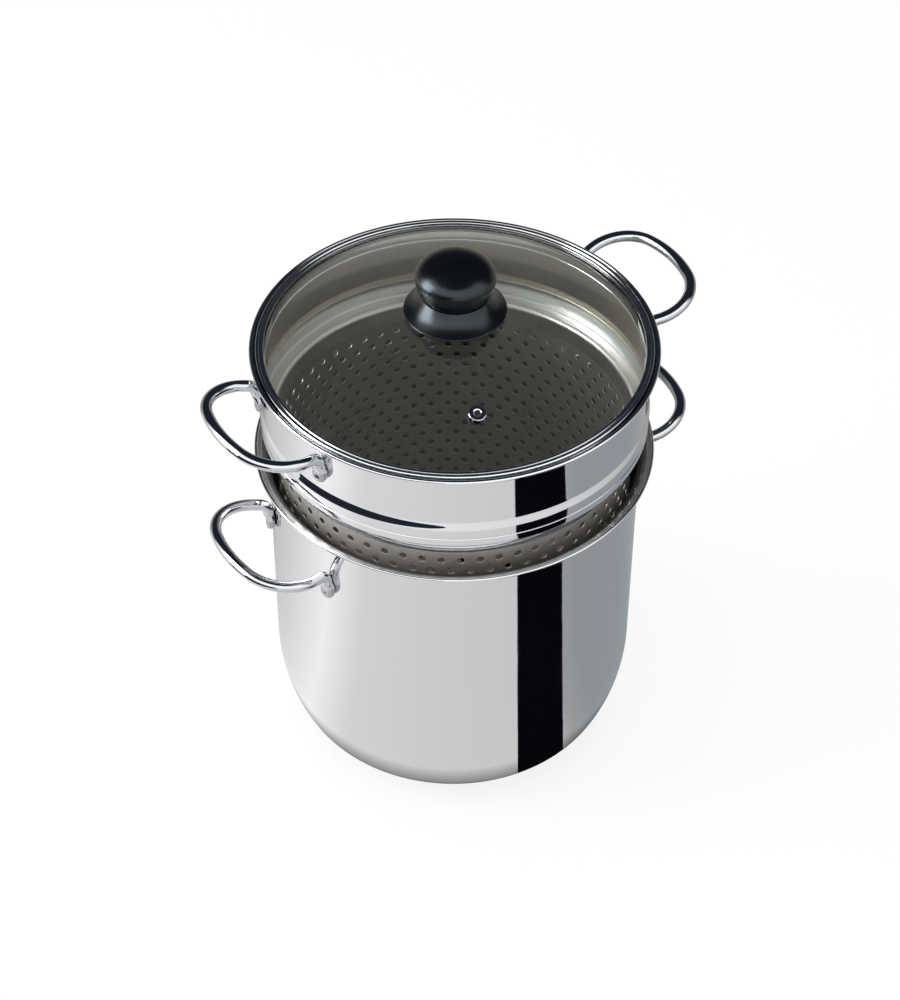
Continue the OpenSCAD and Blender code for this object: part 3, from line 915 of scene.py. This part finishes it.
def build_rim_band():
    """The band round the glass: a lip on its edge, a rolled bead, and a hemmed lap below."""
    band_t = 0.7
    glass_gap = 0.02
    lip_x = glass_r - 1
    lip_z = glass_top(lip_x)
    lip_r = 0.5
    brow_r = 1.7
    roll_x = glass_r + 2.6
    roll_z = strainer_top - 0.5
    roll_r = 1.3
    out_x = glass_r + band_t
    bottom = glass_under(glass_r) - 0.2 - band_t
    lap_r = 110.8
    lap_z = bottom - 5.6
    hem_r = 0.6
    band = lathe("lid_band", [
        (lip_x, lip_z + glass_gap),
        *arc(lip_x + lip_r, lip_z + lip_r, lip_r, 180, 90, 8),
        *arc(lip_x + lip_r, lip_z + 2 * lip_r - brow_r, brow_r, 88, 42),
        *arc(roll_x, roll_z, roll_r, 158, -150, 22),
        (out_x, roll_z - 1), (out_x, bottom), (lap_r, bottom),
        *arc(lap_r - hem_r, lap_z + hem_r, hem_r, 0, -230, 16),
        (lap_r - band_t, lap_z + 2.2 * hem_r),
        (lap_r - band_t, bottom + band_t),
        (glass_r, bottom + band_t),
        (glass_r, glass_top(glass_r) + glass_gap),
    ], band_steel, crease=40)
    stands_for(band, "lid", "band_steel", "lid_rim_band")


def at_vent():
    """The place of the vent on the dome, square to the glass."""
    turn = Matrix.Rotation(radians(vent_angle), 4, "Z")
    tilt = Matrix.Rotation(asin(vent_offset / dome_r), 4, "Y")
    return turn @ Matrix.Translation((0, 0, dome_z * MM)) @ tilt @ Matrix.Translation((0, 0, dome_r * MM))


def build_vent():
    """The eyelet, with its flange on the glass, and the washer under it; heights from the glass's top."""
    around = 72
    glass_gap = 0.02
    flange_r = 5.1
    flange_edge_r = 0.5
    funnel_r = 1.3
    flange_top = glass_gap + 2 * flange_edge_r
    tube_end = -glass_t - 2.4
    chamfer = 0.2
    washer_r = 5
    washer_top = -glass_t - 0.1
    washer_bottom = -glass_t - 1.2
    eyelet = lathe("vent_tube", [
        (vent_bore_r, tube_end), (vent_tube_r - chamfer, tube_end), (vent_tube_r, tube_end + chamfer),
        (vent_tube_r, glass_gap),
        *arc(flange_r - flange_edge_r, glass_gap + flange_edge_r, flange_edge_r, -90, 90),
        *arc(vent_bore_r + funnel_r, flange_top - funnel_r, funnel_r, 90, 180),
    ], band_steel, around=around)
    washer = lathe("vent_ring", [
        (vent_tube_r, washer_bottom), (washer_r, washer_bottom), (washer_r, washer_top),
        (vent_tube_r, washer_top),
    ], band_steel, around=around)
    for piece, node in ((eyelet, "vent_eyelet"), (washer, "vent_washer")):
        piece.data.transform(at_vent())
        stands_for(piece, "lid", "vent_steel", node)


build_glass()
build_rim_band()
build_vent()


# The knob
def build_knob_cone():
    """The knob's lower piece, whose underside follows the glass."""
    glass_gap = 0.04
    bore = 2.6
    hub_r = 10
    hub_z = apex_z + 1
    roof_z = apex_z + 3.5
    edge_r = 0.6
    edge_z = glass_top(skirt_r - edge_r) + glass_gap
    seat_r = skirt_r - 2.5
    edge_end = 50
    start_x = skirt_r - edge_r + edge_r * cos(radians(edge_end))
    start_z = edge_z + edge_r + edge_r * sin(radians(edge_end))
    end_x = neck_r + 0.4
    sag = 0.9
    slope_steps = 24
    slope = []
    for i in range(slope_steps + 1):
        t = i / slope_steps
        dip = sag * sin(pi * t)
        slope.append((start_x + (end_x - start_x) * t - dip, start_z + (neck_z - start_z) * t - dip))
    cone = lathe("knob_cone", [
        (bore, hub_z), (hub_r, hub_z), (hub_r, roof_z), (neck_r - 2, roof_z + 1.5),
        (seat_r, glass_top(seat_r) + glass_gap),
        *arc(skirt_r - edge_r, edge_z + edge_r, edge_r, -90, 40, 8),
        *slope,
        (neck_r, neck_z), (bore, neck_z),
    ], resin, around=192, crease=40)
    stands_for(cone, "lid", "knob_black", "knob_skirt")


def build_knob_head():
    """The knob's round grip on its grooved neck."""
    wide_z = apex_z + 22
    grip_neck = neck_r - 0.4
    groove_depth = 0.6
    groove_h = 0.8
    neck_top = neck_z + 1.8
    insert_r = 4
    insert_top = knob_top - 12
    under_steps, over_steps = 20, 32
    under = [
        (head_r - (head_r - grip_neck) * (1 - cos(a)), wide_z - (wide_z - neck_top) * sin(a))
        for a in [radians(90 - 90 * i / under_steps) for i in range(under_steps + 1)]
    ]
    over = [
        (head_r * cos(a) ** 0.85, wide_z + (knob_top - wide_z) * sin(a) ** 1.05)
        for a in [radians(90 * i / over_steps) for i in range(1, over_steps)]
    ]
    head = lathe("knob_head", [
        (0, insert_top), (insert_r, insert_top), (insert_r, neck_z),
        (grip_neck - groove_depth, neck_z), (grip_neck - groove_depth, neck_z + groove_h),
        (grip_neck - 0.1, neck_z + 1),
        *under, *over,
        (0, knob_top),
    ], resin, around=192, crease=40)
    stands_for(head, "lid", "knob_black", "knob_grip")


build_knob_cone()
build_knob_head()


def dress(finishes):
    """CAD nodes whose shape is right keep it and take a finish."""
    for node, finish in finishes.items():
        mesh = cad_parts[node].data
        mesh.materials.clear()
        mesh.materials.append(finish)


dress({
    "base_core": core_aluminium,
    "knob_insert": insert_brass,
    "knob_screw": screw_steel,
    "knob_washer": screw_steel,
    "knob_gasket_upper": rubber,
    "knob_gasket_lower": rubber,
})


# The stage: floor, cards that only polished metal sees, lamps and camera
def seen_rays(nodes):
    """1 for rays from the camera and for those that metal and glass send on, 0 for the others."""
    rays = nodes.rays()
    seen = rays["Is Camera Ray"] + rays["Is Glossy Ray"] + rays["Is Transmission Ray"]
    return nodes.math("MINIMUM", seen, 1.0)


def card(name, points, faces=None):
    """A thin piece of the stage from points in millimetres; without faces it is one polygon."""
    mesh = bpy.data.meshes.new(name)
    mesh.from_pydata([tuple(c * MM for c in p) for p in points], [], faces or [tuple(range(len(points)))])
    made = put_in_scene(name, mesh)
    return made


def build_floor():
    """The white floor, which keeps a part of the pot's shadow."""
    reach = 20000
    below = 0.05
    white_share = 0.86
    corners = [(-reach, -reach), (reach, -reach), (reach, reach), (-reach, reach)]
    floor = card("floor", [(x, y, -below) for x, y in corners])
    made, n = material("floor_white")
    lit = n.add("ShaderNodeBsdfDiffuse", None, {"Color": (0.86, 0.86, 0.87, 1)})[0]
    white = n.glow((1, 1, 1, 1))
    n.show(n.add("ShaderNodeMixShader", None, {0: white_share * seen_rays(n), 1: lit, 2: white})[0])
    floor.data.materials.append(made)


def metal_only(piece):
    """Lets a piece of the stage show in polished surfaces and nowhere else."""
    piece.visible_camera = False
    piece.visible_diffuse = False
    piece.visible_transmission = False
    piece.visible_volume_scatter = False
    piece.visible_shadow = False


def card_shade(name, shade):
    """An even glow for a card."""
    made, n = material(name)
    n.show(n.glow((*shade, 1)))
    return made


def facing(angle):
    """Unit vector at an angle from the camera's side, to the right in the picture."""
    a = radians(camera_azimuth - 90 + angle)
    return Vector((cos(a), sin(a), 0))


def by_azimuth(nodes, stops):
    """A colour by the direction round the pot, in degrees from the camera's side to the right."""
    _, (x, y, _) = nodes.place()
    turn = nodes.math("ARCTAN2", x, 0 - y) / (2 * pi) + 0.5
    placed = [((a + 180) / 360, shade) for a, shade in stops]
    return nodes.add("ShaderNodeValToRGB", {"stops": placed}, {0: turn})[0]


def build_floor_shades():
    """Shades on the floor that give the wall the upright bands of the photograph."""
    disc_r = 2950
    above = 0.05
    disc = card("floor_shades", [(x, y, above) for x, y in circle(0, 0, disc_r, 64)])
    metal_only(disc)
    disc.rotation_euler.z = radians(camera_azimuth)
    made, n = material("floor_shades")
    behind_left, behind_right = (0.30, 0.323, 0.34), (0.29, 0.318, 0.335)
    beige = (0.40, 0.37, 0.33)
    near = by_azimuth(n, [
        (-180, 0.5), (-168, 0.42), (-158, 0.10), (-150, 0.10), (-125, 0.55), (-103, 0.68), (-90, 0.79),
        (-70, 0.97), (-61, 0.88), (-47, 0.73), (-28, 0.71), (0, 0.67), (35, 0.64), (55, 0.36),
        (68, behind_left), (110, behind_right), (135, 0.36), (150, 0.10), (158, 0.10), (168, 0.42),
        (180, 0.5),
    ])
    far = by_azimuth(n, [
        (-180, beige), (-130, beige), (-115, 0.8), (-4, 0.85), (60, 0.7), (100, 0.5), (120, beige),
    ])
    _, _, out, _ = round_the_axis(n)
    far_off = n.spread(out, 0.46, 0.54, 0.0, 1.0)
    # Painted shadow: the card darkens under the pot's edge, so the foot mirrors a dark contact line
    painted_shadow_under_pot = n.spread(out, 0.088, 0.12, 0.05, 1.1)
    shade = n.blend(far_off, near, far)
    n.show(n.glow(n.add("ShaderNodeVectorMath", {"operation": "SCALE"}, {
        0: shade, "Scale": painted_shadow_under_pot,
    })[0]))
    disc.data.materials.append(made)


def build_dusk():
    """The dark floor far off to the left, which the collar's crease mirrors as a crescent."""
    above = 0.1
    outer_r = 2900
    near = [(-86, 480), (-70, 480), (-55, 500), (-40, 580), (-25, 720), (-12, 900), (-4, 1150)]
    points = [facing(a) * r for a, r in near]
    points += [facing(a) * outer_r for a in range(-4, -87, -6)]
    dusk = card("floor_dusk", [(p.x, p.y, above) for p in points])
    metal_only(dusk)
    dusk.data.materials.append(card_shade("card_dusk", (0.016, 0.020, 0.032)))


def places_on_the_steel():
    """Places up the pot and up the collar, each (radius, height, lean of its face)."""
    foot_lean, lean_step = -52, 4
    pot = []
    for lean in range(foot_lean, -foot_curve_angle, lean_step):
        a = radians(lean)
        pot.append((base_r + foot_corner_r * cos(a), base_t + foot_corner_r * (1 + sin(a)), lean))
    for lean in range(-foot_curve_angle, 1, lean_step):
        a = radians(lean)
        pot.append((body_r - foot_curve_r * (1 - cos(a)), foot_curve_z + foot_curve_r * sin(a), lean))
    pot += [(body_r, z, 0) for z in (90, 130, 170, pot_h - 12)]
    collar = [(collar_r, z, 0) for z in (crease_high - 2, strainer_top - 6, strainer_top + 60)]
    return pot, collar


def sent_to_floor(camera, place, column, above):
    """Where the steel at a place sends the ray of a picture column, at a height above the floor."""
    widest_angle = 60
    halvings = 24
    r, z, lean = place
    to_camera = camera.matrix_world.inverted()
    eye = camera.matrix_world.translation
    low, high = 0, widest_angle
    for _ in range(halvings):
        angle = (low + high) / 2
        point = (facing(angle) * r + Vector((0, 0, z))) * MM
        seen = to_camera @ point
        if seen.x / -seen.z < column:
            low = angle
        else:
            high = angle
    normal = facing(angle) * cos(radians(lean)) + Vector((0, 0, sin(radians(lean))))
    ray = (point - eye).normalized()
    sent = ray - 2 * ray.dot(normal) * normal
    return (point + (above * MM - point.z) / sent.z * sent) / MM


def build_black_strip(camera):
    """The card that the steel shows as the black stripe of the photograph."""
    above = 0.5
    # The stripe's left and right edges in the picture, sideways for each unit of depth
    edges_on_pot = (0.0263, 0.0439)
    edges_on_collar = (0.0252, 0.0449)
    pot_places, collar_places = places_on_the_steel()
    points = []
    for on_pot, on_collar in zip(edges_on_pot, edges_on_collar):
        points += [sent_to_floor(camera, place, on_pot, above) for place in pot_places]
        points += [sent_to_floor(camera, place, on_collar, above) for place in collar_places]
    count = len(points) // 2
    strip = card("black_strip", points, [(i, i + 1, count + i + 1, count + i) for i in range(count - 1)])
    metal_only(strip)
    strip.data.materials.append(card_shade("card_black", (0.002, 0.002, 0.004)))


def build_room():
    """What polished metal sees above the floor: a dark room, with white paper on the camera's side."""
    room_r = 3000
    brightness = 1.7
    made, n = material("studio_room")
    points, faces = turned(arc(0, 0, room_r, -1, 90, 24), 48, closed=False)
    room = finish_mesh("studio_room", points, faces, made, crease=60)
    metal_only(room)
    room.visible_transmission = True
    room.rotation_euler.z = radians(camera_azimuth)
    night = (0.010, 0.013, 0.020)
    haze = (0.20, 0.19, 0.17)
    low = by_azimuth(n, [
        (-125, haze), (-112, night), (-106, 0.9), (-74, 0.9), (-68, night), (-9, night), (-3, 0.62),
        (95, 0.5), (105, night), (125, haze),
    ])
    high = by_azimuth(n, [(-110, night), (-100, 1.0), (85, 0.8), (100, night)])
    _, _, out, z = round_the_axis(n)
    rise = n.math("ARCTAN2", z, out) / (pi / 2)
    above_low = n.spread(rise, 0.17, 0.20, 0.0, 1.0)
    overhead = n.spread(rise, 0.58, 0.66, 0.0, 1.0)
    shade = n.blend(overhead, n.blend(above_low, low, high), night)
    through_glass = n.blend(n.rays()["Is Transmission Ray"], shade, (0.33, 0.32, 0.30))
    n.show(n.glow(through_glass, brightness))


def lamp(name, place, size, power):
    """A rectangular lamp that is turned to the middle of the pot."""
    data = bpy.data.lights.new(name, "AREA")
    data.shape = "RECTANGLE"
    data.size, data.size_y = size[0] * MM, size[1] * MM
    data.energy = power
    made = put_in_scene(name, data)
    made.location = Vector(place) * MM
    pot_middle = Vector((0, 0, 150 * MM))
    made.rotation_euler = (pot_middle - made.location).to_track_quat("-Z", "Y").to_euler()
    return made


def build_lights():
    """A softbox at the left, a large soft lamp overhead, and a white world."""
    left = facing(-84) * 1300
    lamp("soft_left", (left.x, left.y, 655), size=(700, 1050), power=18)
    top = lamp("soft_top", (0, 0, 2200), size=(1800, 1800), power=34)
    top.visible_glossy = False
    top.visible_transmission = False
    world = bpy.data.worlds.new("white_room")
    bpy.context.scene.world = world
    world.use_nodes = True
    n = Nodes(world.node_tree)
    daylight, extra_where_seen = 0.45, 0.55
    strength = daylight + extra_where_seen * seen_rays(n)
    sky = n.add("ShaderNodeBackground", None, {"Color": (1, 1, 1, 1), "Strength": strength})[0]
    n.add("ShaderNodeOutputWorld", None, {"Surface": sky})


def build_camera():
    """The fitted camera, rolled a little about its line of sight."""
    e = radians(camera_elevation)
    back = facing(0) * cos(e) + Vector((0, 0, sin(e)))
    right = facing(90)
    up = back.cross(right)
    roll = radians(camera_roll)
    right_rolled = cos(roll) * right + sin(roll) * up
    up_rolled = cos(roll) * up - sin(roll) * right
    aim = Matrix.Rotation(radians(camera_azimuth), 3, "Z") @ Vector(camera_aim)
    place = (aim + camera_distance * back) * MM
    data = bpy.data.cameras.new("camera")
    data.sensor_width = 36
    data.lens = camera_lens
    data.clip_end = 100
    camera = put_in_scene("camera", data)
    axes = Matrix((right_rolled, up_rolled, back)).transposed()
    camera.matrix_world = Matrix.Translation(place) @ axes.to_4x4()
    bpy.context.scene.camera = camera
    return camera


build_floor()
build_floor_shades()
build_dusk()
build_black_strip(build_camera())
build_room()
build_lights()
bpy.context.scene.view_settings.view_transform = "Standard"
